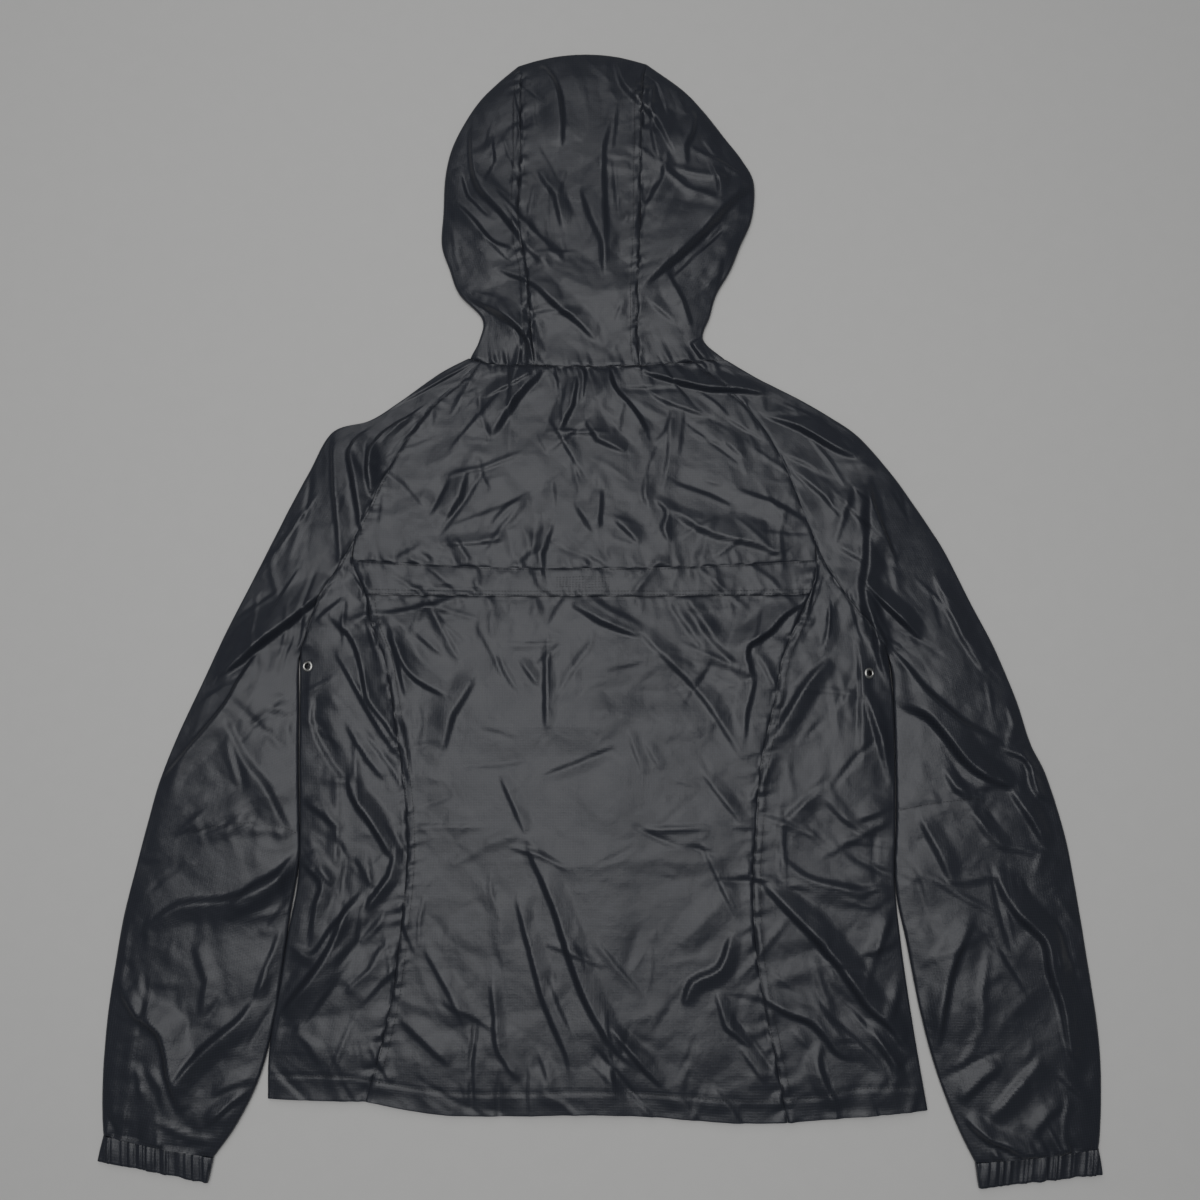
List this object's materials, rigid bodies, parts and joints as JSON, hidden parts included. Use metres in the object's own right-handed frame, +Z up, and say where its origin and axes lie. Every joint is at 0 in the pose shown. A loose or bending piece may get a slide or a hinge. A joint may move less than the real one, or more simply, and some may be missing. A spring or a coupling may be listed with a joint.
{
  "type": "hooded windbreaker jacket, laid flat",
  "caption": "Light hooded windbreaker lying flat, back up: shaped back with a cross band, raglan sleeves with elbow darts, elastic cuffs, eyelets under the arms and a front zip beneath.",
  "frame": {"origin": "centre of the box that the laid garment covers, at the surface it lies on", "axes": "+X to the wearer's right, +Y from the hem to the hood, +Z up from the surface, out of the back of the jacket"},
  "size_m": [0.8025, 0.9612, 0.0132],
  "materials": {
    "shell_fabric": "fine ripstop nylon, near-black navy grey, semi-gloss",
    "zip_tape": "woven black tape",
    "zip_coil": "moulded black coil",
    "metal": "satin nickel plate"
  },
  "bodies": {
    "jacket": {"back_yoke": "shell_fabric", "back_band": "shell_fabric", "back_centre": "shell_fabric", "back_side_L": "shell_fabric", "back_side_R": "shell_fabric", "sleeve_L": "shell_fabric", "sleeve_R": "shell_fabric", "cuff_L": "shell_fabric", "cuff_R": "shell_fabric", "front_L": "shell_fabric", "front_R": "shell_fabric", "hood_centre": "shell_fabric", "hood_side_L": "shell_fabric", "hood_side_R": "shell_fabric", "hood_front_L": "shell_fabric", "hood_front_R": "shell_fabric", "zip_tape_L": "zip_tape", "zip_tape_R": "zip_tape", "zip_chain": "zip_coil", "zip_slider": "metal", "eyelet_L": "metal", "eyelet_R": "metal"},
    "zip_tab": {"zip_pull": "metal"}
  },
  "joints": [
    {"name": "zip_tab_swing", "type": "hinge", "parent": "jacket", "child": "zip_tab", "pos_m": [0, 0.15, 0.00165], "axis": [1, 0, 0], "range_deg": [0, 170]}
  ]
}
